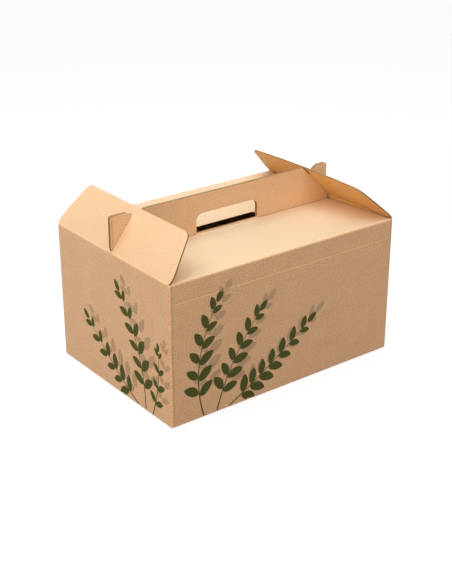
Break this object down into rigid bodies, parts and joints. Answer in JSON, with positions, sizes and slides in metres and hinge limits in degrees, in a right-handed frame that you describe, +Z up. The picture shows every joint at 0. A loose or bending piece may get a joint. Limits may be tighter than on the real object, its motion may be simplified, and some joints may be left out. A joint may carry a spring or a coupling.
{
  "type": "kraft lunch box with handle",
  "caption": "Folded kraft microflute carton for takeaway food, with sloping lids that rise into an upright carrying handle and hinged end flaps slit to hook over the handle's ears.",
  "frame": {"origin": "centre of the base, on the surface that the box stands on", "axes": "+X along the length and the handle, -Y out of the front wall with the score line, +Z up"},
  "size_m": [0.284, 0.2, 0.1903],
  "materials": {
    "kraft_board": "matte brown kraft liner"
  },
  "bodies": {
    "carton": {"carton": "kraft_board"},
    "left_end_flap": {"left_end_flap": "kraft_board"},
    "right_end_flap": {"right_end_flap": "kraft_board"}
  },
  "joints": [
    {"name": "left_flap_hinge", "type": "hinge", "parent": "carton", "child": "left_end_flap", "pos_m": [-0.1412, 0, 0.1492], "axis": [0, -1, 0], "range_deg": [-6, 125]},
    {"name": "right_flap_hinge", "type": "hinge", "parent": "carton", "child": "right_end_flap", "pos_m": [0.1412, 0, 0.1492], "axis": [0, 1, 0], "range_deg": [0, 131]}
  ]
}
